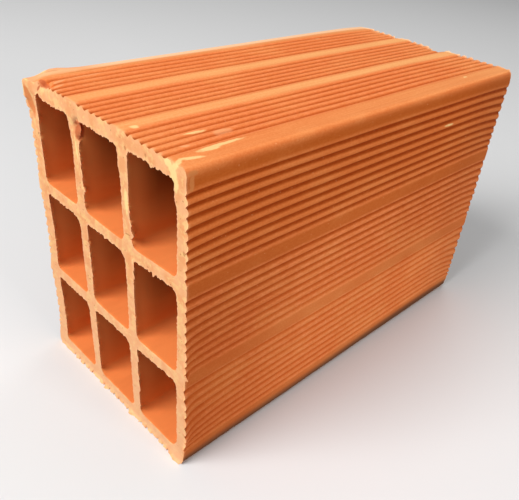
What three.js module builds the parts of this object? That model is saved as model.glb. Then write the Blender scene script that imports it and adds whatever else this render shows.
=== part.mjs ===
// A hollow clay block for walls: one piece of clay, extruded through a die, cut to length by a
// wire and fired. Nine cells run through it from end to end, in three rows of three, and its four
// long faces are grooved in three groups each, with plain bands between them, so that mortar and
// render key into them.
//
// Lengths are in millimetres. X is the width, Y the length and Z the height. The block stands on
// its bed face, with the cells level, and the origin is the middle of that face.

import * as THREE from "three";

// The block's overall size.
const width = 140;
const length = 290;
const height = 190;
const edgeRadius = 3;

// The cells, and the clay around and between them.
const cellColumns = 3;
const cellRows = 3;
const sideWall = 7.5;
const bedWall = 8.5;
const uprightWeb = 7;
const levelWeb = 7.2;
const cellRadius = 5;

// The grooves. Bands and margins are measured between the middles of the grooves beside them,
// and from an edge of the block to the middle of the first groove.
const grooveWidth = 4.2;
const grooveDepth = 1.3;
const ribWidth = 1.4;
const grooveGroups = 3;
const sideBand = 14;
const sideFootMargin = 16;
const sideHeadMargin = 11.7;
const bedBand = 15;
const bedMargin = 15.8;

// How finely the curves are faceted.
const grooveSteps = 8;
const arcSegments = 4;

// Where the middles of the grooves are on a face, measured along it from one edge. The room left
// by the margins and bands is shared out in whole pitches, and a group at the far end takes what
// doesn't divide evenly.
function grooveMiddles(faceWidth, nearMargin, farMargin, band) {
  const room = faceWidth - nearMargin - farMargin - (grooveGroups - 1) * band;
  const pitches = Math.round(room / (grooveWidth + ribWidth));
  const pitch = room / pitches;
  const middles = [];
  let groupStart = nearMargin;
  let pitchesLeft = pitches;
  for (let group = 0; group < grooveGroups; group += 1) {
    const groupPitches = Math.floor(pitchesLeft / (grooveGroups - group));
    for (let groove = 0; groove <= groupPitches; groove += 1) {
      middles.push(groupStart + groove * pitch);
    }
    groupStart += groupPitches * pitch + band;
    pitchesLeft -= groupPitches;
  }
  return middles;
}

// Draws one face of the section from its corner, with each groove as one smooth wave.
function drawGroovedFace(outline, corner, along, inward, middles) {
  for (const middle of middles) {
    for (let step = 0; step <= grooveSteps; step += 1) {
      const share = step / grooveSteps - 0.5;
      const depth = 0.5 * grooveDepth * (1 + Math.cos(2 * Math.PI * share));
      const point = corner
        .clone()
        .addScaledVector(along, middle + share * grooveWidth)
        .addScaledVector(inward, depth);
      outline.lineTo(point.x, point.y);
    }
  }
}

// The same middles, measured from the face's other edge.
function fromOtherEdge(middles, faceWidth) {
  return middles.map((middle) => faceWidth - middle).reverse();
}

// The section's outline, anticlockwise from the lower left: bed, right side, top and left side.
// The top face has the bed's grooves, straight above them, and both sides have theirs level.
function blockOutline() {
  const left = -width / 2;
  const right = width / 2;
  const toRight = new THREE.Vector2(1, 0);
  const toLeft = new THREE.Vector2(-1, 0);
  const up = new THREE.Vector2(0, 1);
  const down = new THREE.Vector2(0, -1);
  const bedMiddles = grooveMiddles(width, bedMargin, bedMargin, bedBand);
  const topMiddles = fromOtherEdge(bedMiddles, width);
  const rightMiddles = grooveMiddles(height, sideFootMargin, sideHeadMargin, sideBand);
  const leftMiddles = fromOtherEdge(rightMiddles, height);

  const outline = new THREE.Shape();
  outline.moveTo(left + edgeRadius, 0);
  drawGroovedFace(outline, new THREE.Vector2(left, 0), toRight, up, bedMiddles);
  outline.absarc(right - edgeRadius, edgeRadius, edgeRadius, -Math.PI / 2, 0);
  drawGroovedFace(outline, new THREE.Vector2(right, 0), up, toLeft, rightMiddles);
  outline.absarc(right - edgeRadius, height - edgeRadius, edgeRadius, 0, Math.PI / 2);
  drawGroovedFace(outline, new THREE.Vector2(right, height), toLeft, down, topMiddles);
  outline.absarc(left + edgeRadius, height - edgeRadius, edgeRadius, Math.PI / 2, Math.PI);
  drawGroovedFace(outline, new THREE.Vector2(left, height), down, toRight, leftMiddles);
  outline.absarc(left + edgeRadius, edgeRadius, edgeRadius, Math.PI, 1.5 * Math.PI);
  return outline;
}

// One cell's rounded outline, from its lower left corner.
function cellOutline(left, bottom, cellWidth, cellHeight) {
  const radius = Math.min(cellRadius, cellWidth / 2, cellHeight / 2);
  const right = left + cellWidth;
  const top = bottom + cellHeight;
  const outline = new THREE.Path();
  outline.absarc(right - radius, bottom + radius, radius, -Math.PI / 2, 0);
  outline.absarc(right - radius, top - radius, radius, 0, Math.PI / 2);
  outline.absarc(left + radius, top - radius, radius, Math.PI / 2, Math.PI);
  outline.absarc(left + radius, bottom + radius, radius, Math.PI, 1.5 * Math.PI);
  outline.closePath();
  return outline;
}

// The cells share the room that the walls and webs leave.
function cellOutlines() {
  const cellWidth = (width - 2 * sideWall - (cellColumns - 1) * uprightWeb) / cellColumns;
  const cellHeight = (height - 2 * bedWall - (cellRows - 1) * levelWeb) / cellRows;
  const outlines = [];
  for (let row = 0; row < cellRows; row += 1) {
    for (let column = 0; column < cellColumns; column += 1) {
      const left = -width / 2 + sideWall + column * (cellWidth + uprightWeb);
      const bottom = bedWall + row * (cellHeight + levelWeb);
      outlines.push(cellOutline(left, bottom, cellWidth, cellHeight));
    }
  }
  return outlines;
}

const firedClay = new THREE.MeshStandardMaterial({
  color: 0xe58a4e,
  roughness: 0.92,
  metalness: 0,
});

function makeBlock() {
  const section = blockOutline();
  section.holes = cellOutlines();
  const geometry = new THREE.ExtrudeGeometry(section, {
    depth: length,
    steps: 1,
    bevelEnabled: false,
    curveSegments: arcSegments,
  });
  const block = new THREE.Mesh(geometry, firedClay);
  block.name = "clay_brick";
  // The section is drawn upright in X and Z, and runs from the far end to the near one.
  block.rotation.x = Math.PI / 2;
  block.position.y = length / 2;
  return block;
}

const part = new THREE.Group();
part.add(makeBlock());

export default part;
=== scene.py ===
# The finish of a hollow clay block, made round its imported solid: the skin that the die left,
# drawn along the block, the two wire-cut ends with their torn lips, and the nine cells.
#
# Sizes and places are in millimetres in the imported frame, unless a name says otherwise, and turn
# into metres where they go to Blender. X is across the block, Y along its cells and Z up. The
# near end is the one at the lower Y, which the camera sees.

import itertools
import math

import bpy
import numpy as np
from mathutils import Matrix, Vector
from mathutils.geometry import delaunay_2d_cdt


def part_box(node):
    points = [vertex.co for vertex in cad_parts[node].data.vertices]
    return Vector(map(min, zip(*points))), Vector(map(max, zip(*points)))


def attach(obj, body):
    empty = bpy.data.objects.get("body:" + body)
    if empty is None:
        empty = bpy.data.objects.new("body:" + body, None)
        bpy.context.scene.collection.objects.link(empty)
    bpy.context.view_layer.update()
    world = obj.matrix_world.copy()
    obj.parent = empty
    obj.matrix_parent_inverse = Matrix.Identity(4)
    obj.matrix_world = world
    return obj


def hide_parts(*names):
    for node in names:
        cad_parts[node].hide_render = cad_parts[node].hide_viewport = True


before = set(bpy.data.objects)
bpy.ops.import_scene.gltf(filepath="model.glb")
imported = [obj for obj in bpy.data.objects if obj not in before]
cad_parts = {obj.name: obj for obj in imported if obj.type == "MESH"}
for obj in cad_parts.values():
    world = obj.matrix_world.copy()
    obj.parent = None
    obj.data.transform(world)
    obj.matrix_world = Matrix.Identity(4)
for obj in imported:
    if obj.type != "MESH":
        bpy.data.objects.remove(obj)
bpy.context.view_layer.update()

MM = 0.001
BLOCK = "clay_brick"
LOW, HIGH = (np.array(corner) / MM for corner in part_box(BLOCK))
HALF_WIDTH = (HIGH[0] - LOW[0]) / 2
HALF_LENGTH = (HIGH[1] - LOW[1]) / 2
NEAR, FAR = -HALF_LENGTH, HALF_LENGTH
LEFT, RIGHT, TOP = -HALF_WIDTH, HALF_WIDTH, HIGH[2]

# How finely the section's outlines are divided, and by what share a part may be longer.
SKIN_STEP = 1.7
CELL_STEP = 2.25
STEP_SLACK = 0.05
# How many parts each of a cell's steps has in the finer collar beside an end, and its rings.
COLLAR_PARTS = 3
COLLAR_STATIONS = 4
# How far apart the rings are along the block: by the end, how that grows, and at the most.
FIRST_STATION = 0.4
STATION_GROWTH = 1.3
LONGEST_STATION = 12.0
# How far apart the points in an end face are, and as shares of that, how much each is shaken and
# how far it stays from an outline. Its shake is drawn by its place, to one part of a millimetre.
END_STEP = 1.5
END_JITTER = 0.22
END_MARGIN = 0.62
PARTS_OF_A_MM = 8
# Edges that turn by more degrees than this are shaded sharp.
SHARP_TURN = 48

# The cells' corners, as the worn cores of the die leave them: their radii in X and in Z.
CORNER_RADII = {
    "lower_left": (4.5, 4.5),
    "upper_left": (2.0, 2.4),
    "upper_right": (4.2, 6.5),
    "lower_right": (3.4, 5.0),
}
ARC_STEPS = 4

# Where the lowest row of cells starts, in the middle of the wall under it, and how high each row
# is, up to the middle of the web above it.
LOWEST_ROW = 4.5
ROW_HEIGHT = 60.0

# How far in from a long edge the clay counts as the edge's own.
EDGE = 5.0

# The way the cutting wire went through the near end. It went back through the far one.
WIRE = np.array([0.62, 0.0, -0.785])

SKIN, CELL, CUT = range(3)


# ------------------------------ the section

def cap_outlines(block):
    """The section's outlines at the near end, each a list of (x, z) with the clay on its left."""
    mesh = block.data
    places = [tuple(round(c / MM, 3) for c in vertex.co) for vertex in mesh.vertices]
    near = min(place[1] for place in places)
    edges = set()
    for polygon in mesh.polygons:
        corners = [places[i] for i in polygon.vertices]
        if all(corner[1] == near for corner in corners):
            points = [(corner[0], corner[2]) for corner in corners]
            edges.update(zip(points, points[1:] + points[:1]))
    follows = {a: b for a, b in edges if (b, a) not in edges}
    outlines = []
    while follows:
        point = min(follows)
        outline = []
        while point in follows:
            outline.append(point)
            point = follows.pop(point)
        outlines.append(np.array(outline))
    return outlines


def divided(outline, longest):
    """The closed outline with its long stretches cut into equal parts."""
    points = []
    for start, end in zip(outline, np.roll(outline, -1, axis=0)):
        parts = max(1, math.ceil(np.linalg.norm(end - start) / longest - STEP_SLACK))
        points += [start + (end - start) * part / parts for part in range(parts)]
    return np.array(points)


def divided_evenly(outline, parts):
    """The closed outline with each of its stretches cut into the same number of parts."""
    shares = np.arange(parts)[None, :, None] / parts
    ends = np.roll(outline, -1, axis=0)
    return (outline[:, None] * (1 - shares) + ends[:, None] * shares).reshape(-1, 2)


def cell_outline(outline):
    """A cell's outline with its own radii in each corner, clockwise, so the clay is on its left.

    Every COLLAR_PARTS-th point of it is a point of the coarser outline that the cell has inside.
    """
    low, high = outline.min(axis=0), outline.max(axis=0)
    corners = (
        (0, 0, CORNER_RADII["lower_left"], 270),
        (0, 1, CORNER_RADII["upper_left"], 180),
        (1, 1, CORNER_RADII["upper_right"], 90),
        (1, 0, CORNER_RADII["lower_right"], 0),
    )
    points = []
    for right, top, radii, first in corners:
        centre = np.array([
            high[0] - radii[0] if right else low[0] + radii[0],
            high[1] - radii[1] if top else low[1] + radii[1],
        ])
        for step in range(ARC_STEPS + 1):
            turn = math.radians(first - 90 * step / ARC_STEPS)
            points.append(centre + np.array(radii) * (math.cos(turn), math.sin(turn)))
    coarse = divided(np.array(points), CELL_STEP)
    return divided_evenly(coarse, COLLAR_PARTS)


def outward(outline):
    """The direction out of the clay at each point of an outline."""
    along = np.roll(outline, -1, axis=0) - np.roll(outline, 1, axis=0)
    along /= np.linalg.norm(along, axis=1)[:, None]
    return np.stack([along[:, 1], -along[:, 0]], axis=1)


def inside_clay(points, outlines):
    """Whether each point is in the clay: inside an odd number of outlines."""
    inside = np.zeros(len(points), bool)
    for outline in outlines:
        ends = np.roll(outline, -1, axis=0)
        for (x0, z0), (x1, z1) in zip(outline, ends):
            if z0 != z1:
                spans = (z0 > points[:, 1]) != (z1 > points[:, 1])
                crossing = x0 + (points[:, 1] - z0) * (x1 - x0) / (z1 - z0)
                inside ^= spans & (points[:, 0] < crossing)
    return inside


def stations():
    """Places along the block, close together where the wire cut it."""
    reach, step, places = 0.0, FIRST_STATION, []
    while reach < HALF_LENGTH:
        places.append(reach)
        reach += step
        step = min(step * STATION_GROWTH, LONGEST_STATION)
    ends = np.array(places) * HALF_LENGTH / (places[-1] + 0.5 * step)
    return np.concatenate([ends - HALF_LENGTH, (HALF_LENGTH - ends)[::-1]])


# ------------------------------ noise

# Large numbers that scatter the points of the noise's lattice, its seeds and the mixture of both.
SCATTER_X, SCATTER_Y, SCATTER_Z = 73856093, 19349663, 83492791
SCATTER_SEED = 2654435761
SCATTER_MIXTURE = 1274126177
LAST_BITS = 0xFFFF


def hashed(lattice, seed):
    """A number from -1 to 1 for each whole-number point, the same at every run."""
    mixed = lattice[:, 0] * SCATTER_X ^ lattice[:, 1] * SCATTER_Y ^ lattice[:, 2] * SCATTER_Z
    mixed = mixed ^ (seed * SCATTER_SEED)
    mixed = (mixed ^ (mixed >> 13)) * SCATTER_MIXTURE
    mixed = mixed ^ (mixed >> 16)
    return (mixed & LAST_BITS) / (LAST_BITS / 2) - 1


def noise(points, scale, seed):
    """Smooth noise from -1 to 1, with features about scale millimetres across in X, Y and Z."""
    cells = points / np.array(scale, float)
    base = np.floor(cells).astype(np.int64)
    share = cells - base
    share = share * share * (3 - 2 * share)
    total = np.zeros(len(points))
    for corner in itertools.product((0, 1), repeat=3):
        weight = np.where(corner, share, 1 - share).prod(axis=1)
        total += weight * hashed(base + np.array(corner), seed)
    return total


def smooth(value, low, high):
    """0 below low, 1 above high and a smooth rise between."""
    share = np.clip((value - low) / (high - low), 0, 1)
    return share * share * (3 - 2 * share)


def between(value, rise, fall):
    """1 from the end of the rise to the start of the fall, 0 before and after both."""
    return smooth(value, *rise) * (1 - smooth(value, *fall))


def within(distance, full, none):
    """1 up to the full distance, and nothing from the other one on."""
    return 1 - smooth(distance, full, none)


# ------------------------------ the undisturbed mesh

class Clay:
    """The block's points, with the way out of the clay, and its faces by kind of surface."""

    def __init__(self):
        self.places, self.normals, self.kinds = [], [], []
        self.faces, self.face_kinds = [], []
        self.count = 0

    def add_points(self, places, normals, kind):
        """Takes the points in, and gives the number of the first."""
        first = self.count
        self.places.append(places)
        self.normals.append(normals)
        self.kinds.append(np.full(len(places), kind))
        self.count += len(places)
        return first

    def add_faces(self, faces, kind):
        self.faces += faces
        self.face_kinds += [kind] * len(faces)

    def add_ring(self, outline, depth, kind):
        """The points of an outline at one place along the block, and their numbers."""
        size = len(outline)
        ways = outward(outline)
        places = np.column_stack([outline[:, 0], np.full(size, depth), outline[:, 1]])
        normals = np.column_stack([ways[:, 0], np.zeros(size), ways[:, 1]])
        first = self.add_points(places, normals, kind)
        return range(first, first + size)

    def join_rings(self, near, far, kind):
        """Faces between two rings, where one may have several points for each of the other's."""
        near_parts = max(1, len(near) // len(far))
        far_parts = max(1, len(far) // len(near))
        for i in range(min(len(near), len(far))):
            start = [near[(i * near_parts + k) % len(near)] for k in range(near_parts + 1)]
            end = [far[(i * far_parts + k) % len(far)] for k in range(far_parts + 1)]
            if near_parts == far_parts:
                self.add_faces([(start[0], end[0], end[1], start[1])], kind)
            elif near_parts > 1:
                self.add_faces([(start[k], end[0], start[k + 1]) for k in range(near_parts - 1)], kind)
                self.add_faces([(start[-2], end[0], end[1], start[-1])], kind)
            else:
                self.add_faces([(start[0], end[k], end[k + 1]) for k in range(far_parts - 1)], kind)
                self.add_faces([(start[0], end[-2], end[-1], start[1])], kind)

    def add_wall(self, outline, depths, kind, coarser):
        """A surface along the whole block, and the numbers of its points at each end.

        Away from the ends only one point of so many is kept.
        """
        fine = {*range(COLLAR_STATIONS), *range(len(depths) - COLLAR_STATIONS, len(depths))}
        rings = [
            self.add_ring(outline if row in fine else outline[::coarser], depth, kind)
            for row, depth in enumerate(depths)
        ]
        for near, far in zip(rings, rings[1:]):
            self.join_rings(near, far, kind)
        return rings[0], rings[-1]

    def arrays(self):
        return np.concatenate(self.places), np.concatenate(self.normals), np.concatenate(self.kinds)


def end_filling(outlines):
    """Points scattered in the clay of an end face, clear of its outlines."""
    row_step = END_STEP * math.sqrt(3) / 2
    rows = np.arange(0, TOP, row_step)
    columns = np.arange(LEFT, RIGHT, END_STEP)
    grid = np.array([
        (x + (row % 2) * END_STEP / 2, z) for row, z in enumerate(rows) for x in columns
    ])
    flat = np.column_stack([grid[:, 0], np.zeros(len(grid)), grid[:, 1]])
    lattice = np.round(flat * PARTS_OF_A_MM).astype(np.int64)
    shaken = np.column_stack([hashed(lattice, 5), hashed(lattice, 6)])
    grid = grid + END_JITTER * END_STEP * shaken
    grid = grid[inside_clay(grid, outlines)]
    rim = np.concatenate(outlines)
    gaps = np.array([np.min(np.linalg.norm(rim - point, axis=1)) for point in grid])
    return grid[gaps > END_MARGIN * END_STEP]


def end_triangles(outlines, filling):
    """Triangles over the clay of an end face, numbered outline after outline, then the filling."""
    points = np.concatenate([*outlines, filling])
    owner = np.full(len(points), -1)
    edges, first = [], 0
    for number, outline in enumerate(outlines):
        size = len(outline)
        owner[first:first + size] = number
        edges += [(first + i, first + (i + 1) % size) for i in range(size)]
        first += size
    inside_the_edges, same_point = 1, 1e-6
    _, _, found, origins, _, _ = delaunay_2d_cdt(
        [Vector(p) for p in points], edges, [], inside_the_edges, same_point
    )
    numbers = [merged[0] for merged in origins]
    triangles = []
    for triangle in found:
        a, b, c = (numbers[i] for i in triangle)
        in_a_cell = owner[a] > 0 and owner[a] == owner[b] == owner[c]
        if not in_a_cell:
            turn = np.cross(points[b] - points[a], points[c] - points[a])
            triangles.append((a, b, c) if turn > 0 else (a, c, b))
    return triangles


def plain_clay():
    """The whole block as the die and the wire would leave it, with no mark or drift."""
    outlines = sorted(cap_outlines(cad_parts[BLOCK]), key=lambda o: -np.ptp(o[:, 0]))
    section = [divided(outlines[0], SKIN_STEP)] + [cell_outline(o) for o in outlines[1:]]
    depths = stations()
    clay = Clay()
    near_rim, far_rim = [], []
    for number, outline in enumerate(section):
        kind, coarser = (CELL, COLLAR_PARTS) if number else (SKIN, 1)
        near, far = clay.add_wall(outline, depths, kind, coarser)
        near_rim += near
        far_rim += far
    filling = end_filling(section)
    triangles = end_triangles(section, filling)
    for rim, depth, flip in ((near_rim, NEAR, False), (far_rim, FAR, True)):
        places = np.column_stack([filling[:, 0], np.full(len(filling), depth), filling[:, 1]])
        normals = np.tile([0.0, 1.0 if flip else -1.0, 0.0], (len(filling), 1))
        first = clay.add_points(places, normals, CUT)
        numbers = list(rim) + list(range(first, first + len(filling)))
        clay.add_faces([
            tuple(numbers[i] for i in (reversed(t) if flip else t)) for t in triangles
        ], CUT)
    return clay


# ------------------------------ how the block departs from plain

# Where the grooves of the sides run, against the drawing: height, then how far above it.
SIDE_DRIFT = (
    (0, 0.0), (16, 0.5), (38, 0.75), (50, 1.4), (61, 1.85), (75, 1.8), (86, 2.05), (97, 2.2), (108, 1.5),
    (120, 1.65), (134, 0.75), (145, 0.1), (168, 0.0), (178, -0.4), (190, -0.4),
)
# The same for the grooves of the top and the bed, across the block from its left edge.
TOP_DRIFT = (
    (-70, -1.1), (-54, -1.1), (-48, -0.55), (-36, 0.5), (-31, -0.3), (-15, 0.65), (-4, 0.65), (1, 0.4),
    (12, -0.65), (26, -0.95), (43, -1.0), (54, -1.6), (70, -1.6),
)
# The wire dragged the grooves of the sides down, most where the wall has no web behind it.
DROOP = 1.0
ROW_DROOPS = (6.0, 2.4, 2.0)
DROOP_REACH = 17.0
# It dragged those of the top along it too. Towards the far end these lean a little to the right,
# and the lowest ones of the sides rise.
TOP_DRAG = ((-70, 2.6), (-36, 2.6), (-29, 1.2), (-15, 0.8), (12, 0.9), (27, 1.3), (70, 1.1))
TOP_LEAN = 1.3
FOOT_LEAN = 0.8


def drawn(table, value):
    """A smooth curve through a few (place, amount) pairs."""
    places, amounts = zip(*table)
    shifts = np.linspace(-4, 4, 9)
    return sum(np.interp(value + shift, places, amounts) for shift in shifts) / len(shifts)


def near_face(distance):
    """1 on an outer face, and nothing where the nearest cell's wall has ended."""
    return within(distance, 1.5, 12.0)


def droop(z):
    """How far the wire dragged the sides' grooves down at an end."""
    total = np.full(len(z), DROOP)
    for row, amount in enumerate(ROW_DROOPS):
        share = np.clip((z - LOWEST_ROW) / ROW_HEIGHT - row, 0, 1)
        total += amount * np.sin(math.pi * share) ** 2
    return total


def lift(places):
    """How far the right side's grooves run above their drift, fading from the near end."""
    x, y, z = places.T
    from_cut = y - NEAR
    high_up = 1.3 * between(z, (134, 150), (168, 184)) * np.exp(-from_cut / 50)
    half_way = 0.95 * between(z, (98, 108), (168, 184)) * np.exp(-from_cut / 20)
    low_down = 1.7 * between(z, (34, 42), (48, 54)) * np.exp(-from_cut / 8)
    return (high_up + half_way + low_down) * (x > 0)


def groove_drift(places, to_end):
    """How far the outer faces' grooves lie along the face from where the die is drawn."""
    x, y, z = places.T
    fade = np.exp(-to_end / DROOP_REACH)
    on_side = near_face(HALF_WIDTH - np.abs(x))
    on_level = near_face(np.minimum(z, TOP - z))
    foot = FOOT_LEAN * smooth(y, 0, 90) * within(z, 20, 50)
    rise = (drawn(SIDE_DRIFT, z) - fade * droop(z) + foot + lift(places)) * on_side
    lean = TOP_LEAN * smooth(y, 30, FAR)
    across = (drawn(TOP_DRIFT, x) + fade * drawn(TOP_DRAG, x) + lean) * on_level
    still = 1 - on_side * on_level
    return np.column_stack([across * still, np.zeros(len(places)), rise * still])


def between_webs(z):
    """1 halfway up a row of cells and 0 at the webs."""
    return np.sin(math.pi * np.clip((z - LOWEST_ROW) / ROW_HEIGHT, 0, 3)) ** 2


def across_shift(x, z):
    """How far to the right the real section stands: it leans and bows, and its walls vary."""
    inside = 1.4 * between(x, (LEFT, LEFT + 9), (RIGHT - 8, RIGHT))
    left_wall = 1.2 * within(np.abs(x - LEFT - 6), 0, 9)
    lean = 1.2 * (0.5 - z / TOP) * within(np.abs(x), 50, RIGHT)
    bowed_in = 1.3 * between_webs(z) * within(z, 112, 126) * within(x - LEFT, 8, 16)
    bulge = 1.0 * between(z, (2, 14), (110, 150)) * by_the_right_side(x)
    thinner = 0.7 * between(z, (76, 92), (148, 168)) + 0.3 * within(z, 45, 70)
    first_web = -thinner * within(np.abs(x + 27), 3, 8)
    left_edge = 0.8 * within(x - LEFT, 1, 7) * smooth(z, TOP - 10, TOP - 2)
    return inside + left_wall + lean + bowed_in + bulge + first_web + left_edge


def upward_shift(x, z):
    """How far up the real level webs and the top wall's lower face stand, more so to the right."""
    rising = smooth(x, 24, 60)
    lower_web = (0.6 + 1.5 * rising) * within(np.abs(z - 65), 4, 20)
    upper_web = (0.9 + 2.0 * rising) * within(np.abs(z - 125), 4, 20)
    under_the_top = between(z, (TOP - 18, TOP - 10), (TOP - 6, TOP - 2))
    top_wall = under_the_top * (0.8 * smooth(x, 22, 36) - 1.4 * within(x, -50, -26))
    return (lower_web + upper_web + top_wall) * within(np.abs(x), 62, RIGHT)


def by_the_right_side(x):
    """1 on the right side, and nothing where its long edges have ended."""
    return smooth(x, RIGHT - EDGE, RIGHT - 2)


def pushed_out(x, y, z):
    """How far the right side stands out by the near end: low down, at the very rim only."""
    from_cut = y - NEAR
    high_up = (0.5 + 1.2 * smooth(z, 132, 150)) * between(z, (96, 110), (170, 186))
    rim = 0.8 * between(z, (68, 78), (96, 108)) + 1.7 * between(z, (16, 28), (50, 62))
    amount = high_up * np.exp(-(from_cut / 40) ** 2) + rim * np.exp(-(from_cut / 4) ** 2)
    return amount * by_the_right_side(x)


def shortened(x, y, z):
    """How far short of the drawing the top of the far end is."""
    amount = 0.5 + (1.9 + 1.4 * smooth(x, -56, -44)) * within(x, 5, 14) - 1.6 * smooth(x, 60, 69)
    return amount * smooth(y, FAR - 40, FAR) * smooth(z, 130, 165)


def section_shift(places):
    """Where the real block differs from the drawing, apart from its single marks."""
    x, y, z = places.T
    across = across_shift(x, z) + pushed_out(x, y, z)
    return np.column_stack([across, -shortened(x, y, z), upward_shift(x, z)])


def undulation(places, normals, kinds):
    """The slow waves of a surface that was pushed through a die and dried."""
    long_waves = 0.16 * noise(places, (30, 70, 30), 11) + 0.06 * noise(places, (9, 26, 9), 12)
    cell_waves = 0.3 * noise(places, (24, 60, 24), 13) + 0.12 * noise(places, (7, 25, 7), 14)
    amount = np.where(kinds == SKIN, long_waves, np.where(kinds == CELL, cell_waves, 0))
    return normals * amount[:, None]


def end_face_relief(places, to_end):
    """The cut face isn't flat: the wire bowed, dragged grit along and tore small pits."""
    x, y, z = places.T
    along = x * WIRE[0] + z * WIRE[2]
    across = z * WIRE[0] - x * WIRE[2]
    dragged = np.column_stack([along / 14.0, np.zeros(len(x)), across / 2.6])
    bow = 0.4 * noise(places, (45, 60, 45), 21)
    drag = 0.05 * noise(dragged, (1, 1, 1), 22) + 0.07 * noise(places, (4, 90, 4), 23)
    pits = -0.9 * smooth(noise(places, (2.2, 90, 2.2), 24), 0.7, 0.97)
    shift = np.zeros((len(x), 3))
    shift[:, 1] = np.sign(y) * ((bow + drag) * np.exp(-to_end / 4) + pits * np.exp(-to_end / 0.4))
    return shift


def wire_sides(places, normals, kinds):
    """How squarely the wire left each wall, and how squarely it entered."""
    out = (normals @ WIRE) * (kinds != CUT) * -np.sign(places[:, 1])
    return np.clip(out, 0, 1), np.clip(-out, 0, 1)


def cut_lips(places, normals, kinds, to_end):
    """Where the wire left the clay it dragged a torn lip, and where it entered it rounded the edge."""
    leaving, entering = wire_sides(places, normals, kinds)
    coarse = noise(places, (7, 60, 7), 31)
    fine = noise(places, (1.9, 60, 1.9), 32)
    finest = noise(places, (0.8, 60, 0.8), 33)
    crumbly = 0.3 * np.clip(normals[:, 0], 0, 1) * (kinds == CELL)
    lumps = smooth(noise(places, (2.6, 60, 2.6), 34) + crumbly, 0.5, 0.9)
    outside = (kinds == SKIN).astype(float)
    burr = 0.12 + 0.45 * outside + 0.25 * np.clip(coarse, 0, 1)
    burr += 0.9 * np.clip(fine, -0.2, 1) ** 2 + 0.5 * finest + (1.3 + 0.2 * outside) * lumps
    burr *= leaving * np.where(kinds == CELL, 0.8 + 2.0 * np.clip(normals[:, 0], 0, 1), 1)
    burr *= np.where(places[:, 1] > 0, 0.55, 1)
    ragged = (0.16 * fine + 0.3 * finest) * (kinds != CUT)
    below = np.clip(-normals[:, 2], 0, 1) * outside
    sideways = (burr * (1 - 0.6 * below) + ragged) * np.exp(-to_end / 0.9)
    sideways -= 0.22 * entering * (1 + 0.5 * fine) * np.exp(-to_end / 0.5)
    forward = (burr * (0.35 + 1.1 * below) + 0.4 * below + 0.6 * ragged) * np.exp(-to_end / 0.8)
    forward -= 0.18 * entering * np.exp(-to_end / 0.35)
    shift = normals * sideways[:, None]
    shift[:, 1] += np.sign(places[:, 1]) * forward
    return shift


def groove_depth(places, kinds):
    """How deep each point of the skin lies in a groove."""
    x, _, z = places.T
    depth = np.minimum(HALF_WIDTH - np.abs(x), np.minimum(z, TOP - z))
    on_an_edge = (np.abs(x) > RIGHT - EDGE) & ((z < EDGE) | (z > TOP - EDGE))
    return np.where((kinds == SKIN) & ~on_an_edge, depth, 0)


def wiped_grooves(places, normals, depth, to_end):
    """The wire wiped a little clay into the ends of the grooves, and more into the bed's."""
    amount = 0.35 + 0.5 * noise(places, (4.5, 60, 4.5), 36) + 1.2 * (places[:, 2] < EDGE)
    wiped = amount * (depth / depth.max()) ** 2 * np.exp(-(to_end / 1.3) ** 2)
    return normals * wiped[:, None]


def swell(places, centre, reach):
    """1 at the centre, falling smoothly to nothing about twice the reach away in X, Y and Z."""
    spread = (places - np.array(centre, float)) / np.array(reach, float)
    return np.exp(-np.sum(spread ** 2, axis=1))


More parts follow.
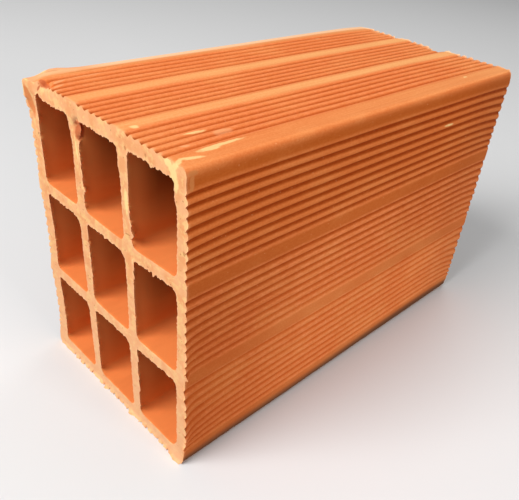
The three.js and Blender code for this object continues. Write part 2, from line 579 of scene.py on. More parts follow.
# Single marks: where each is, how far it reaches in X, Y and Z, and which way it moves the clay.
DENTS_AND_LUMPS = {
    "flared corner": ((LEFT, NEAR, TOP - 2), (9, 5, 9), (-0.6, -1.9, -1.3)),
    "flared wall": ((LEFT, NEAR, TOP - 12), (6, 4, 7), (-1.3, -0.6, 0.0)),
    "raised rim": ((LEFT + 1, NEAR + 15, TOP), (5, 8, 6), (-0.4, 0.0, 1.3)),
    "dip behind the flare": ((LEFT + 1, NEAR + 5, TOP), (5, 4.5, 5), (0.3, 0.0, -1.1)),
    "notch beside the flare": ((LEFT + 7, NEAR + 1, TOP), (3.5, 3, 4), (0.0, 0.4, -1.1)),
    "clay pushed into the first cell": ((LEFT + 10, NEAR, TOP - 13), (4, 6, 7), (2.2, -0.4, 0.0)),
    "sharp corner of the first cell": ((LEFT + 10, NEAR, TOP - 10), (3.6, 5, 3.6), (0.8, 0.0, 4.6)),
    "turned edge of the flare": ((LEFT + 4, NEAR, TOP - 14), (2.4, 2, 9), (0.0, 1.1, 0.0)),
    "hollow behind the flare": ((LEFT + 18.5, NEAR + 0.5, TOP), (5.2, 3.0, 2.6), (0.0, 2.2, -2.2)),
    "curl beside the hollow": ((LEFT + 13, NEAR + 2.0, TOP), (2.2, 4, 2), (0.3, -0.6, 0.9)),
    "bevel of the first web": ((-19.2, NEAR, TOP - 12.8), (2.8, 3.5, 3.2), (-1.6, 2.4, 0.4)),
    "foot of the bevel": ((-18.6, NEAR, TOP - 17.5), (1.7, 3.5, 3.4), (-0.7, 1.6, 0.0)),
    "head of the first web": ((-25.5, NEAR, TOP - 15), (3, 12, 7), (-1.3, 0.0, 0.0)),
    "head of the second web": ((18.5, NEAR, TOP - 18), (3, 60, 7), (-1.2, 0.0, 0.0)),
    "waist of the second web": ((25.5, NEAR, TOP - 37), (3, 60, 9), (-1.0, 0.0, 0.0)),
    "burr on the first web": ((-18.5, NEAR, 142.6), (2.2, 2, 1.5), (3.4, -0.8, 1.0)),
    "hook on the second web": ((25.5, NEAR, 136.6), (2.2, 2, 1.6), (2.8, -0.4, 0.4)),
    "hollow under the hook": ((26.0, NEAR, 132.4), (1.8, 3, 1.2), (-1.4, 0.6, 0.0)),
    "torn corner of the fourth cell": ((-29.0, NEAR, 124), (2.6, 2, 2.2), (-1.2, -0.4, -1.2)),
    "swelling under the right corner": ((RIGHT - 7.5, NEAR, TOP - 15), (3, 60, 4.5), (-2.2, 0.0, 0.0)),
    "tear under the top wall": ((45, NEAR, TOP - 9), (1.8, 2.2, 1.8), (0.0, 0.4, -1.3)),
    "burr on the right edge": ((RIGHT, NEAR, 86), (2.5, 2, 1.5), (1.9, -0.4, 0.0)),
    "second burr on the right edge": ((RIGHT, NEAR, 73), (2.5, 2, 1.8), (2.4, -0.3, -0.8)),
    "left foot": ((LEFT, NEAR, 4), (8, 4, 9), (-1.9, -0.4, 0.0)),
    "left lip of the lowest cell": ((LEFT, NEAR, 22), (4, 3, 8), (-0.9, 0.0, 0.0)),
    "left lip at the lower web": ((LEFT, NEAR, 62), (4, 3, 7), (-1.2, 0.0, 0.0)),
    "left lip at the upper web": ((LEFT, NEAR, 124), (4, 3, 10), (-1.2, 0.0, 0.0)),
    "right foot": ((RIGHT - 6, NEAR, 0), (7, 4, 5), (0.0, -1.2, 0.0)),
    "thick corner of the last cell": ((RIGHT - 7, 0, 9), (5, 400, 5), (-1.4, 0.0, 1.8)),
    "far chip": ((7, FAR, TOP), (5, 5, 5), (0.0, -2.6, -2.4)),
    "far band lip": ((19, FAR, TOP), (6, 3, 3), (0.0, -0.6, -0.4)),
    "second far chip": ((-31, FAR, TOP), (3.5, 3, 3), (0.0, -1.4, -1.2)),
    "far left corner": ((LEFT, FAR, TOP), (9, 14, 9), (0.6, -1.0, -0.6)),
    "far corner": ((RIGHT, FAR, TOP), (5, 5, 5), (-0.9, -0.9, -0.6)),
}


def single_marks(places):
    """How far all the single marks together move each point."""
    return sum(np.outer(swell(places, centre, reach), move)
               for centre, reach, move in DENTS_AND_LUMPS.values())


# ------------------------------ what the materials read

def gap_to_grooves(places, depth):
    """How far across the face each point is from the nearest groove."""
    section = np.round(places[:, [0, 2]], 3)
    grooves = np.unique(section[depth > 0.5 * depth.max()], axis=0)
    points, number = np.unique(section, axis=0, return_inverse=True)
    gaps = np.linalg.norm(points[:, None] - grooves[None], axis=2).min(axis=1)
    return gaps[number.ravel()]


def pale_edges_and_highlight(places):
    """How pale the top's edges are: a painted highlight along its left edge, and a ragged pale rim along
    its far one.
    """
    x, y, z = places.T
    on_top = smooth(z, TOP - 4, TOP - 1)
    left = 0.85 * smooth(-x, 61.5, 65) * (0.4 + 0.6 * smooth(y, -120, -95))
    reach = 2.2 + 1.2 * noise(places, (5, 60, 5), 52)
    far = 0.9 * np.exp(-((FAR - y) / reach) ** 2) * (1 - 0.65 * smooth(x, 26, 40))
    return np.maximum(left, far) * on_top


def side_darkening(y, z):
    """The sides are darker low down by the near end, and half way up past the middle."""
    by_the_near_end = 0.85 * within(y, -150, -30) * within(z, 95, 165)
    past_the_middle = 0.3 * between(y, (0, 60), (100, 140)) * between(z, (50, 70), (110, 160))
    return by_the_near_end + past_the_middle


def foot_shade_far_darkening(y, z):
    """Painted shade along the sides' foot, reaching higher up towards the far end, and the sides a little
    darker at that end.
    """
    foot = 0.95 * within(z - 2 * smooth(y, -60, 110), 2, 9.5)
    return np.maximum(foot, 0.16 * smooth(y, 70, 140))


def painted_light_and_shade(normals, kinds, z, level, crest):
    """Painted shade and light: the sides darker towards the top, the cells' walls and ceilings duller than
    their floors, and the cuts paler low down.
    """
    # Painted shade: the sides darken towards the top, less on the rib crests.
    on_the_sides = (1 - level) * (0.15 + 0.85 * smooth(z, 30, 185)) * (1 - 0.6 * crest)
    on_the_skin = on_the_sides * smooth(TOP - z, 0.3, 6.0)
    # Painted light: the cells' walls and ceilings get another colour than their floors.
    in_the_cells = within(normals[:, 2], 0.2, 0.9)
    # Painted light: the cut faces are paler low down.
    on_the_cuts = within(z, 10, 130)
    return np.select([kinds == SKIN, kinds == CELL], [on_the_skin, in_the_cells], on_the_cuts)


def torn_edges(places, normals, kinds, groove, to_end):
    """The pale clay that the wire tore open beside the cuts."""
    leaving, entering = wire_sides(places, normals, kinds)
    amount = (leaving + 0.9 * entering * (kinds == SKIN)) * (1 - 0.8 * groove)
    amount *= np.where(np.abs(places[:, 0]) > RIGHT - EDGE, 0.5, 1)
    reach = 1.1 + 0.6 * noise(places, (2, 60, 2), 51)
    amount *= 1 - swell(places, (-17, NEAR, TOP - 13), (5, 8, 6))
    return np.clip(amount * np.exp(-(to_end / reach) ** 2), 0, 1)


def painted_cell_shade(x, z, to_end):
    """Painted shade inside the cells: more of it high up in each, in the higher rows and to the right."""
    up_the_cell = np.mod((z - LOWEST_ROW) / ROW_HEIGHT, 1)
    darkest = np.clip((0.86 + x / 150) * (0.36 + z / 300), 0, 1)
    return darkest * smooth(to_end, 3, 22) * smooth(up_the_cell, -0.1, 0.9)


def pale_bands(places, level, gap):
    """The paler clay of the top and the bed: their smooth bands and margins, which painted light makes
    paler along the block, and painted light at their far end.
    """
    x, y, _ = places.T
    smoothed = smooth(gap, 1.6, 4.6) * level
    in_the_margins = np.where(x > 0, 0.27 + 0.12 * smooth(y, -60, 60), 0.45)
    margin = smooth(np.abs(x), RIGHT - 15, RIGHT - 13)
    # Painted light: paler along the block and at the far end.
    painted_light_along = 0.8 + 0.2 * smooth(y, -100, 60)
    painted_light_at_far_end = 0.22 * level * smooth(y, 95, 130)
    return smoothed * (1 - margin * (1 - in_the_margins)) * painted_light_along + painted_light_at_far_end


def tones(places, normals, kinds, depth, to_end):
    """The point attributes that the materials read, each from 0 to 1."""
    x, y, z = places.T
    on_skin = kinds == SKIN
    level = smooth(RIGHT - np.abs(x) - np.minimum(z, TOP - z), -1.2, 1.2)
    groove = depth / depth.max()
    gap = gap_to_grooves(places, depth)
    crest = (1 - groove) ** 2 * within(gap, 1.75, 2.5)
    painted_shading = painted_light_and_shade(normals, kinds, z, level, crest)
    cell_rim = (0.3 + 0.7 * between_webs(z)) * within(to_end, 4, 14)
    return {
        "groove": groove,
        "band": pale_bands(places, level, gap),
        # Painted highlight on the rib crests, fading high on the sides.
        "crest": crest * (1 - (1 - level) * smooth(z, 110, 150)),
        "painted_light_and_shade": painted_shading,
        # Painted shade along the foot, and the far end a little darker.
        "foot_shade_far_darkening": foot_shade_far_darkening(y, z) * (1 - level) * on_skin,
        "side_darkening": side_darkening(y, z) * (1 - level) * on_skin,
        "torn": torn_edges(places, normals, kinds, groove, to_end),
        # On the skin, a painted highlight along the top's left edge and a pale far rim.
        "rim": np.where(on_skin, pale_edges_and_highlight(places), cell_rim),
        # Painted shade at the ends of the grooves.
        "groove_end_shade": groove * np.exp(-(to_end / 1.2) ** 2) * (1 - 0.7 * painted_shading * on_skin),
        # Painted shade deep in the cells.
        "cell_shade": painted_cell_shade(x, z, to_end) * (kinds == CELL),
    }


def shaped(clay):
    """Where every point ends up, and the point attributes that the materials read."""
    places, normals, kinds = clay.arrays()
    to_end = HALF_LENGTH - np.abs(places[:, 1])
    depth = groove_depth(places, kinds)
    moved = places + groove_drift(places, to_end) + section_shift(places)
    moved += undulation(places, normals, kinds)
    moved += end_face_relief(places, to_end)
    moved += cut_lips(places, normals, kinds, to_end)
    moved += wiped_grooves(places, normals, depth, to_end)
    moved += single_marks(places)
    moved[:, 2] = np.maximum(moved[:, 2], 0.0)
    return moved, tones(places, normals, kinds, depth, to_end)


def make_block():
    clay = plain_clay()
    places, attributes = shaped(clay)
    mesh = bpy.data.meshes.new("fired_block")
    mesh.from_pydata((places * MM).tolist(), [], clay.faces)
    for name, values in attributes.items():
        layer = mesh.attributes.new(name, "FLOAT", "POINT")
        layer.data.foreach_set("value", values.astype(np.float32))
    for material in (skin_material(), cell_material(), cut_material()):
        mesh.materials.append(material)
    mesh.polygons.foreach_set("material_index", np.array(clay.face_kinds, np.int32))
    mesh.polygons.foreach_set("use_smooth", np.ones(len(mesh.polygons), bool))
    mesh.set_sharp_from_angle(angle=math.radians(SHARP_TURN))
    mesh.validate()
    block = bpy.data.objects.new("fired_block", mesh)
    bpy.context.scene.collection.objects.link(block)
    return block


# ------------------------------ materials

class Nodes:
    """A material's nodes, made and joined with few words."""

    # Which of the Mix node's sockets are the colours that go in, and the one that comes out.
    MIX_FIRST, MIX_SECOND, MIX_RESULT = 6, 7, 2

    def __init__(self, name):
        self.material = bpy.data.materials.new(name)
        self.material.use_nodes = True
        self.tree = self.material.node_tree
        self.tree.nodes.clear()

    def add(self, kind, settings=None, **inputs):
        node = self.tree.nodes.new("ShaderNode" + kind)
        for setting, value in (settings or {}).items():
            setattr(node, setting, value)
        for name, value in inputs.items():
            self.feed(node.inputs[name.replace("_", " ")], value)
        return node

    def feed(self, socket, value):
        if isinstance(value, bpy.types.NodeSocket):
            self.tree.links.new(value, socket)
        else:
            socket.default_value = value

    def object_places(self):
        return self.add("TexCoord").outputs["Object"]

    def places(self, stretch):
        """Object coordinates in millimetres, each divided by its stretch."""
        scale = [1 / MM / s for s in stretch]
        return self.add("Mapping", Vector=self.object_places(), Scale=scale).outputs["Vector"]

    def noise(self, stretch, detail=3.0):
        """Noise about 0.5, with features about as many millimetres across as stretch says."""
        places = self.places(stretch)
        node = self.add("TexNoise", Vector=places, Scale=1.0, Detail=detail, Roughness=0.55)
        return node.outputs["Fac"]

    def math(self, operation, first, second):
        node = self.add("Math", {"operation": operation})
        self.feed(node.inputs[0], first)
        self.feed(node.inputs[1], second)
        return node.outputs[0]

    def times(self, first, second):
        return self.math("MULTIPLY", first, second)

    def ramp(self, value, low, high, to_low=0.0, to_high=1.0):
        node = self.add(
            "MapRange", {"interpolation_type": "SMOOTHSTEP"}, Value=value,
            From_Min=low, From_Max=high, To_Min=to_low, To_Max=to_high,
        )
        return node.outputs["Result"]

    def mix(self, share, first, second, blend="MIX"):
        node = self.add("Mix", {"data_type": "RGBA", "blend_type": blend})
        self.feed(node.inputs["Factor"], share)
        self.feed(node.inputs[self.MIX_FIRST], first)
        self.feed(node.inputs[self.MIX_SECOND], second)
        return node.outputs[self.MIX_RESULT]

    def attribute(self, name):
        return self.add("Attribute", {"attribute_name": name}).outputs["Fac"]

    def bump(self, height, strength, distance, under=None):
        node = self.add("Bump", Height=height, Strength=strength, Distance=distance)
        if under is not None:
            self.feed(node.inputs["Normal"], under)
        return node.outputs["Normal"]

    def streak(self, start, end, half_width):
        """1 along the middle of a streak, falling to nothing round it."""
        start, end = Vector(start), Vector(end)
        along = end - start
        reach = Vector((along.length / 2 + half_width, half_width, half_width))
        mapped = self.add(
            "Mapping", {"vector_type": "TEXTURE"}, Vector=self.object_places(),
            Location=(start + end) / 2 * MM, Rotation=along.to_track_quat("X", "Z").to_euler(),
            Scale=reach * MM,
        )
        length = self.add("VectorMath", {"operation": "LENGTH"})
        self.feed(length.inputs[0], mapped.outputs["Vector"])
        return self.ramp(length.outputs["Value"], 0.2, 1.4, 1.0, 0.0)

    def streaked(self, colour, streaks, share, other, fullness=0.35, blend="MIX"):
        """The colour with a share of another one over it where the streaks are.

        Noise tears their edges, and the fullness says how much of them it leaves.
        """
        total, *others = [self.streak(*places) for places in streaks.values()]
        for cover in others:
            total = self.math("MAXIMUM", total, cover)
        torn = self.math("ADD", self.noise((1.4, 3.5, 1.4), detail=4.0), fullness)
        shown = self.ramp(self.times(total, torn), 0.35, 0.75)
        return self.mix(self.times(shown, share), colour, other, blend)

    def finish(self, colour, roughness, normal):
        shader = self.add(
            "BsdfPrincipled", Base_Color=colour, Roughness=roughness, Normal=normal,
            Specular_IOR_Level=0.1,
        )
        self.add("OutputMaterial", Surface=shader.outputs["BSDF"])
        return self.material


def rgb(red, green, blue):
    """A colour from its sRGB numbers, each from 11 to 255."""
    return (*(((c / 255 + 0.055) / 1.055) ** 2.4 for c in (red, green, blue)), 1.0)


CLAY = rgb(232, 131, 70)
DEEP_CLAY = rgb(224, 121, 62)
# Painted shade: the colour of the sides towards their top.
SIDE_SHADE_CLAY = rgb(187, 92, 31)
PALE_CLAY = rgb(250, 179, 114)
# Painted highlight: the colour of the rib crests.
CREST_HIGHLIGHT_CLAY = rgb(247, 148, 96)
CUT_CLAY = rgb(246, 182, 130)
CUT_DEEP = rgb(240, 165, 110)
CUT_YELLOW = rgb(248, 198, 134)
# Painted light: the cut face's colour low down.
CUT_LOW_PAINTED_LIGHT = rgb(253, 193, 146)
CELL_CLAY = rgb(247, 141, 75)
# Painted light: the colour of the cells' walls and ceilings, unlike their floors.
CELL_WALL_PAINTED_LIGHT = rgb(236, 150, 82)
CELL_RIM = rgb(252, 162, 92)
TORN_CLAY = rgb(243, 172, 118)
# Painted shade: the red-brown of torn hollows and the bevel.
RECESS_SHADE_RED = rgb(196, 100, 58)
SCUM = rgb(252, 222, 152)
SMEAR = rgb(206, 127, 70)
# Painted shade: the brown along the foot, which also darkens the far end a little.
FOOT_SHADE_BROWN = rgb(94, 62, 44)
# Painted highlight along the top's left edge, and the pale far rim.
PALE_EDGE_AND_HIGHLIGHT = rgb(252, 206, 162)
# What the clay's colour is multiplied by: painted shade in the grooves (the first also darkens random
# specks), stronger painted shade in the grooves high on the sides, painted shade in little hollows, where
# the sides are darker, and painted shade deep in the cells.
GROOVE_SHADE_AND_SPECKLE_TINT = (0.87, 0.69, 0.47, 1.0)
UPPER_GROOVE_SHADE_TINT = (0.64, 0.41, 0.14, 1.0)
# Painted shade: what hollows, creases and pits are multiplied by.
HOLLOW_SHADE_TINT = (0.55, 0.42, 0.30, 1.0)
SIDE_DARKENING_TINT = (0.68, 0.55, 0.42, 1.0)
CELL_SHADE_TINT = (0.15, 0.13, 0.08, 1.0)

# Streaks on the clay: each one's start, its end and half its width. First, pale scum on the skin.
SKIN_SCUM = {
    "spot on the band": ((22.5, NEAR + 6.7, TOP), (22.6, NEAR + 7.7, TOP), 2.6),
    "line on a rib": ((40.9, NEAR + 18, TOP), (42.4, NEAR + 38.5, TOP), 1.0),
    "streak by the last groove": ((RIGHT - 11.5, NEAR + 10.5, TOP), (RIGHT - 11.8, NEAR + 46.5, TOP), 1.7),
    "head of that streak": ((RIGHT - 11.1, NEAR + 14, TOP), (RIGHT - 10.6, NEAR + 27, TOP), 2.4),
    "curl at the corner": ((RIGHT - 6, NEAR - 0.5, TOP), (RIGHT - 9.2, NEAR + 4.2, TOP), 1.8),
    "end of the curl": ((RIGHT - 9.2, NEAR + 2.5, TOP), (RIGHT - 6.1, NEAR + 15, TOP), 1.9),
    "rim of the flare": ((LEFT + 1.5, NEAR - 2, TOP - 1.4), (LEFT + 3.5, NEAR + 11, TOP + 0.6), 2.4),
    "flake on the side": ((RIGHT + 0.3, 63.5, TOP - 25), (RIGHT + 0.3, 78.0, TOP - 25.6), 1.2),
    "far spot": ((RIGHT - 9.6, 92.0, TOP), (RIGHT - 9.6, 96.0, TOP), 1.1),
    "left spot": ((-52.8, 66.0, TOP), (-51.5, 74.0, TOP), 1.3),
    "beside the left spot": ((-48.5, 67.0, TOP), (-48.2, 76.0, TOP), 0.8),
}
# Where the skin was scuffed as pale as a cut.
SKIN_SCUFFS = {
    "margin beside the flare": ((LEFT + 7.5, NEAR + 2, TOP - 0.5), (LEFT + 7.5, NEAR + 31, TOP), 4.2),
    "first rib": ((-51.0, NEAR + 15, TOP), (-52.0, NEAR + 40, TOP), 1.1),
    "patch over two grooves": ((46.3, NEAR + 34, TOP), (47.7, NEAR + 45, TOP), 3.0),
    "mark before the patch": ((51.0, NEAR + 11, TOP), (52.2, NEAR + 16, TOP), 1.3),
    "end of the first rib": ((-46.8, NEAR + 1.5, TOP), (-50.4, NEAR + 14.5, TOP), 1.1),
    "end of the second rib": ((-41.2, NEAR + 0.5, TOP), (-43.4, NEAR + 9, TOP), 1.0),
    "end of the third rib": ((-37.0, NEAR + 0.5, TOP), (-37.6, NEAR + 4, TOP), 1.0),
}
# Thin smears on the skin that only lighten it.
SKIN_SMEARS = {
    "below the corner": ((RIGHT + 1, NEAR + 3.4, TOP - 3), (RIGHT + 1, NEAR + 2.8, TOP - 10.4), 2.1),
    "beside it": ((RIGHT + 1, NEAR + 2, TOP - 2.8), (RIGHT + 1, NEAR + 5.4, TOP - 2.8), 2.2),
}
# Pale scum on the cut face.
CUT_SCUM = {
    "top right corner": ((RIGHT - 14.5, NEAR, TOP - 1), (RIGHT - 8.5, NEAR, TOP - 4), 2.8),
    "up to the curl": ((RIGHT - 9.5, NEAR, TOP - 3.5), (RIGHT - 6, NEAR - 0.3, TOP - 0.5), 2.0),
    "down the right wall": ((RIGHT - 9.6, NEAR, TOP - 2.5), (RIGHT - 6.6, NEAR, TOP - 12.5), 3.6),
    "first web": ((-21.5, NEAR, TOP - 17), (-19.3, NEAR, TOP - 35), 1.0),
    "second web": ((23.6, NEAR, TOP - 28), (24.0, NEAR, TOP - 43), 2.2),
    "top of the flare": ((LEFT + 1, NEAR - 2, TOP - 1.6), (LEFT + 9, NEAR - 1.5, TOP - 1.2), 1.6),
    "side of the flare": ((LEFT, NEAR - 2, TOP - 2), (LEFT, NEAR - 1.5, TOP - 11), 1.4),
}
# The flare's own face, where it turns from the light.
CUT_SHADE = {
    "face of the flare": ((LEFT + 2.5, NEAR - 1.5, TOP - 7), (LEFT + 5.5, NEAR - 0.5, TOP - 21), 4.0),
}
# Painted shade in small pits and a crack in the cut face.
PIT_SHADES = {
    "top wall": ((25.4, NEAR, TOP - 7.2), (25.6, NEAR, TOP - 7.8), 1.0),
    "top wall, further right": ((41.4, NEAR, TOP - 4.6), (41.6, NEAR, TOP - 5.2), 0.9),
    "right wall": ((RIGHT - 1, NEAR, TOP - 41), (RIGHT - 0.8, NEAR, TOP - 42.2), 1.1),
    "right wall, low": ((RIGHT - 6.6, NEAR, 75.4), (RIGHT - 6.6, NEAR, 74.8), 0.9),
    "first web": ((-16.9, NEAR, TOP - 25), (-16.9, NEAR, TOP - 26.1), 0.9),
    "crack by the hook": ((21.3, NEAR, 135.4), (25.8, NEAR, 136.0), 0.6),
}
# Painted shade along fine creases in the skin.
CREASE_SHADES = {
    "beside the raised rim": ((LEFT + 11.4, NEAR + 3, TOP + 0.3), (LEFT + 10.1, -80.0, TOP), 0.9),
    "behind the flare": ((LEFT + 5.6, NEAR + 5, TOP + 0.6), (LEFT + 6.1, NEAR + 19, TOP + 0.6), 0.9),
}
# Painted shade, red-brown, in the hollows, the crack and on the bevel where the surface tore.
RECESS_SHADES = {
    "hollow behind the flare": ((LEFT + 14, NEAR + 1.5, TOP - 1), (-49, NEAR + 2.5, TOP - 2), 2.4),
    "crack below it": ((-53.5, NEAR + 0.5, TOP - 2.5), (LEFT + 13.5, NEAR + 0.5, TOP - 6.5), 1.2),
    "head of the bevel": ((-20.4, NEAR + 1, TOP - 12.2), (-16.0, NEAR + 2.4, TOP - 11), 2.6),
    "foot of the bevel": ((-18.8, NEAR + 2, TOP - 11.8), (-19.0, NEAR + 1.6, TOP - 18.8), 3.2),
}


def weathered_skin(nodes, painted_light_and_shade, patches):
    """The skin's colour before its grooves and marks: streaky, with painted shade on the sides, paler
    where smooth, and a painted highlight on the rib crests.
    """
    streaks = nodes.noise((1.4, 60, 1.4))
    colour = nodes.mix(nodes.ramp(streaks, 0.3, 0.75, 0.0, 0.6), CLAY, DEEP_CLAY)
    # Painted shade: the sides darken towards the top.
    colour = nodes.mix(painted_light_and_shade, colour, SIDE_SHADE_CLAY)
    band = nodes.times(nodes.attribute("band"), nodes.ramp(streaks, 0.3, 0.8, 1.0, 0.7))
    colour = nodes.mix(band, colour, PALE_CLAY)
    flecks = nodes.noise((1.3, 5, 1.3), detail=2.0)
    # Painted highlight: paler rib crests.
    crest_highlight = nodes.times(nodes.attribute("crest"), nodes.ramp(flecks, 0.35, 0.75, 0.15, 0.7))
    colour = nodes.mix(crest_highlight, colour, CREST_HIGHLIGHT_CLAY)
    patchy = nodes.ramp(patches, 0.42, 0.75, 0.0, 0.22)
    lighter = nodes.times(patchy, nodes.ramp(painted_light_and_shade, 0.0, 1.0, 1.0, 0.3))
    return nodes.mix(lighter, colour, PALE_CLAY), flecks


def grooved_skin(nodes, colour, painted_light_and_shade, flecks):
    """The skin's colour with painted shade in its grooves, its grain, the darker parts of the sides, and
    painted shade along the foot.
    """
    speckle = nodes.noise((0.9, 1.4, 0.9), detail=2.0)
    grit = nodes.noise((1.0, 1.2, 1.0), detail=0.0)
    # Painted shade in the grooves, stronger high on the sides.
    tint = nodes.mix(nodes.ramp(painted_light_and_shade, 0.35, 1.0), GROOVE_SHADE_AND_SPECKLE_TINT, UPPER_GROOVE_SHADE_TINT)
    uneven = nodes.ramp(flecks, 0.3, 0.7, 1.15, 0.8)
    shaded = nodes.times(nodes.ramp(nodes.attribute("groove"), 0.1, 0.95), uneven)
    colour = nodes.mix(shaded, colour, tint, "MULTIPLY")
    colour = nodes.mix(nodes.ramp(speckle, 0.35, 0.68, 0.45, 0.0), colour, GROOVE_SHADE_AND_SPECKLE_TINT, "MULTIPLY")
    colour = nodes.mix(nodes.ramp(grit, 0.79, 0.88, 0.0, 0.35), colour, CUT_CLAY)
    # Where the sides are darker.
    colour = nodes.mix(nodes.attribute("side_darkening"), colour, SIDE_DARKENING_TINT, "MULTIPLY")
    # Painted shade along the foot, and the far end a little darker.
    return nodes.mix(nodes.attribute("foot_shade_far_darkening"), colour, FOOT_SHADE_BROWN)


def marked_skin(nodes, colour):
    """The skin's colour with its smears, scuffs, torn edges, pale edges and painted highlight, painted
    shade in creases, groove ends and torn hollows, and scum.
    """
    colour = nodes.streaked(colour, SKIN_SMEARS, 0.8, SMEAR, fullness=0.6)
    colour = nodes.streaked(colour, SKIN_SCUFFS, 0.6, TORN_CLAY)
    colour = nodes.mix(nodes.attribute("torn"), colour, TORN_CLAY)
    # Painted highlight along the top's left edge, and a pale far rim.
    colour = nodes.mix(nodes.attribute("rim"), colour, PALE_EDGE_AND_HIGHLIGHT)
    # Painted shade along creases.
    colour = nodes.streaked(colour, CREASE_SHADES, 0.45, HOLLOW_SHADE_TINT, blend="MULTIPLY")
    # Painted shade at the groove ends.
    colour = nodes.mix(nodes.attribute("groove_end_shade"), colour, HOLLOW_SHADE_TINT, "MULTIPLY")
    # Painted shade in torn hollows.
    colour = nodes.streaked(colour, RECESS_SHADES, 0.85, RECESS_SHADE_RED, fullness=0.55)
    return nodes.streaked(colour, SKIN_SCUM, 0.65, SCUM)


def skin_material():
    nodes = Nodes("extruded_clay")
    painted_light_and_shade = nodes.attribute("painted_light_and_shade")
    patches = nodes.noise((20, 42, 20))
    colour, flecks = weathered_skin(nodes, painted_light_and_shade, patches)
    colour = grooved_skin(nodes, colour, painted_light_and_shade, flecks)
    colour = marked_skin(nodes, colour)
    grain = nodes.bump(nodes.noise((0.5, 0.8, 0.5)), 0.3, 0.12 * MM)
    lines = nodes.bump(nodes.noise((0.9, 30, 0.9)), 0.2, 0.15 * MM, grain)
    return nodes.finish(colour, nodes.ramp(patches, 0.3, 0.7, 0.8, 0.92), lines)


def cut_material():
    nodes = Nodes("wire_cut_clay")
    mottle = nodes.noise((9, 9, 9), detail=4.0)
    yellow = nodes.noise((3.5, 3.5, 3.5))
    fine = nodes.noise((1.1, 1.1, 1.1), detail=2.0)
    pits = nodes.noise((1.4, 1.4, 1.4), detail=0.0)
    colour = nodes.mix(nodes.ramp(mottle, 0.35, 0.65), CUT_DEEP, CUT_CLAY)
    colour = nodes.mix(nodes.ramp(yellow, 0.46, 0.66, 0.0, 0.9), colour, CUT_YELLOW)
    # Painted light: the cut face paler low down.
    colour = nodes.mix(nodes.times(nodes.attribute("painted_light_and_shade"), 0.6), colour, CUT_LOW_PAINTED_LIGHT)
    colour = nodes.mix(nodes.ramp(fine, 0.25, 0.45, 0.45, 0.0), colour, CUT_DEEP)
    # Painted shade in small pits.
    colour = nodes.mix(nodes.ramp(pits, 0.79, 0.86, 0.0, 0.8), colour, HOLLOW_SHADE_TINT, "MULTIPLY")
    colour = nodes.streaked(colour, CUT_SHADE, 0.75, DEEP_CLAY, fullness=0.55)
    # Painted shade in single pits and a crack.
    colour = nodes.streaked(colour, PIT_SHADES, 0.6, HOLLOW_SHADE_TINT, fullness=0.55, blend="MULTIPLY")
    # Painted shade in torn hollows and on the bevel.
    colour = nodes.streaked(colour, RECESS_SHADES, 0.85, RECESS_SHADE_RED, fullness=0.55)
    colour = nodes.streaked(colour, CUT_SCUM, 0.85, SCUM)
    grain = nodes.bump(nodes.noise((0.5, 0.5, 0.5), detail=4.0), 0.45, 0.2 * MM)
    return nodes.finish(colour, nodes.ramp(fine, 0.3, 0.7, 0.86, 0.96), grain)


def cell_material():
    nodes = Nodes("cell_clay")
    mottle = nodes.noise((12, 40, 12))
    painted_wall_tone = nodes.attribute("painted_light_and_shade")
    # Painted light: the walls and ceilings duller than the floors.
    colour = nodes.mix(painted_wall_tone, CELL_CLAY, CELL_WALL_PAINTED_LIGHT)
    colour = nodes.mix(nodes.ramp(mottle, 0.4, 0.7, 0.0, 0.3), colour, DEEP_CLAY)
    colour = nodes.mix(nodes.times(nodes.attribute("rim"), painted_wall_tone), colour, CELL_RIM)
    # Painted shade deep in the cells.
    colour = nodes.mix(nodes.attribute("cell_shade"), colour, CELL_SHADE_TINT, "MULTIPLY")
    colour = nodes.mix(nodes.times(nodes.attribute("torn"), 0.8), colour, TORN_CLAY)
    # Painted shade in torn hollows.
    colour = nodes.streaked(colour, RECESS_SHADES, 0.85, RECESS_SHADE_RED, fullness=0.55)
    grain = nodes.bump(nodes.noise((0.7, 3.0, 0.7)), 0.3, 0.12 * MM)
    return nodes.finish(colour, 0.88, grain)


# ------------------------------ the studio

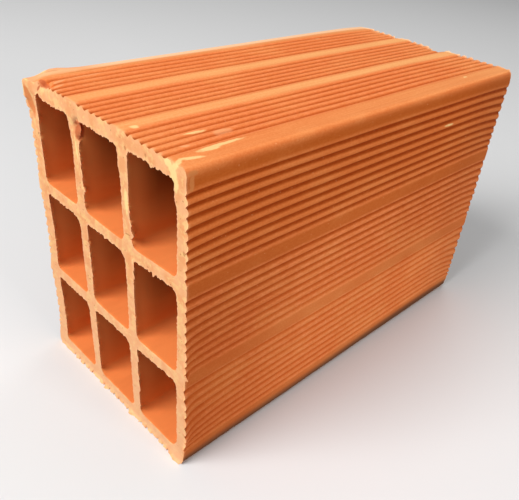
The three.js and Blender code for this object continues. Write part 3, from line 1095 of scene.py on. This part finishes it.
def make_camera():
    """The photograph's viewpoint. Its line of sight is a little off the picture's middle."""
    picture_width, picture_height = 519, 500
    focal_px = 583.8
    sight_x_px, sight_y_px = 272.7, 270.5
    place = np.array([240.9, -279.2, 294.4])
    turns_in_degrees = (54.97, -5.52, 45.30)
    data = bpy.data.cameras.new("camera")
    data.sensor_width = 36.0
    data.lens = focal_px / picture_width * data.sensor_width
    data.shift_x = (picture_width / 2 - sight_x_px) / picture_width
    data.shift_y = (sight_y_px - picture_height / 2) / picture_width
    data.clip_start = 10 * MM
    camera = bpy.data.objects.new("camera", data)
    camera.location = place * MM
    camera.rotation_euler = [math.radians(turn) for turn in turns_in_degrees]
    bpy.context.scene.collection.objects.link(camera)
    bpy.context.scene.camera = camera


# The floor's and the lamps' sizes and places are in metres.
FLOOR_HALF_SIZE = 6.0
FLOOR_SEEN = rgb(226, 226, 226)
FLOOR_LIGHTING_THE_BLOCK = rgb(120, 120, 122)


def make_floor():
    nodes = Nodes("studio_floor")
    seen = nodes.add("LightPath").outputs["Is Camera Ray"]
    colour = nodes.mix(seen, FLOOR_LIGHTING_THE_BLOCK, FLOOR_SEEN)
    shader = nodes.add("BsdfDiffuse", Color=colour)
    nodes.add("OutputMaterial", Surface=shader.outputs["BSDF"])
    mesh = bpy.data.meshes.new("studio_floor")
    sides = ((-1, -1), (1, -1), (1, 1), (-1, 1))
    corners = [(x * FLOOR_HALF_SIZE, y * FLOOR_HALF_SIZE, 0) for x, y in sides]
    mesh.from_pydata(corners, [], [(0, 1, 2, 3)])
    mesh.materials.append(nodes.material)
    floor = bpy.data.objects.new("studio_floor", mesh)
    bpy.context.scene.collection.objects.link(floor)


def area_light(name, place, aim, size, power):
    data = bpy.data.lights.new(name, "AREA")
    data.shape = "SQUARE"
    data.size = size
    data.energy = power
    light = bpy.data.objects.new(name, data)
    light.location = place
    light.rotation_euler = (Vector(aim) - Vector(place)).to_track_quat("-Z", "Y").to_euler()
    bpy.context.scene.collection.objects.link(light)


def light_studio():
    middle = (0.0, 0.0, 0.1)
    area_light("key_light", place=(-0.29, -1.6, 1.51), aim=middle, size=1.3, power=52.0)
    area_light("side_light", place=(1.9, 0.1, 0.5), aim=middle, size=0.7, power=22.0)
    area_light("back_light", place=(-0.4, 1.2, 1.6), aim=middle, size=0.9, power=5.0)
    world = bpy.data.worlds.new("studio")
    world.use_nodes = True
    background = world.node_tree.nodes["Background"]
    background.inputs["Color"].default_value = (1.0, 1.0, 1.0, 1.0)
    background.inputs["Strength"].default_value = 0.25
    bpy.context.scene.world = world
    bpy.context.scene.view_settings.view_transform = "Standard"


make_camera()
make_floor()
light_studio()

block = make_block()
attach(block, "root")
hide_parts(BLOCK)
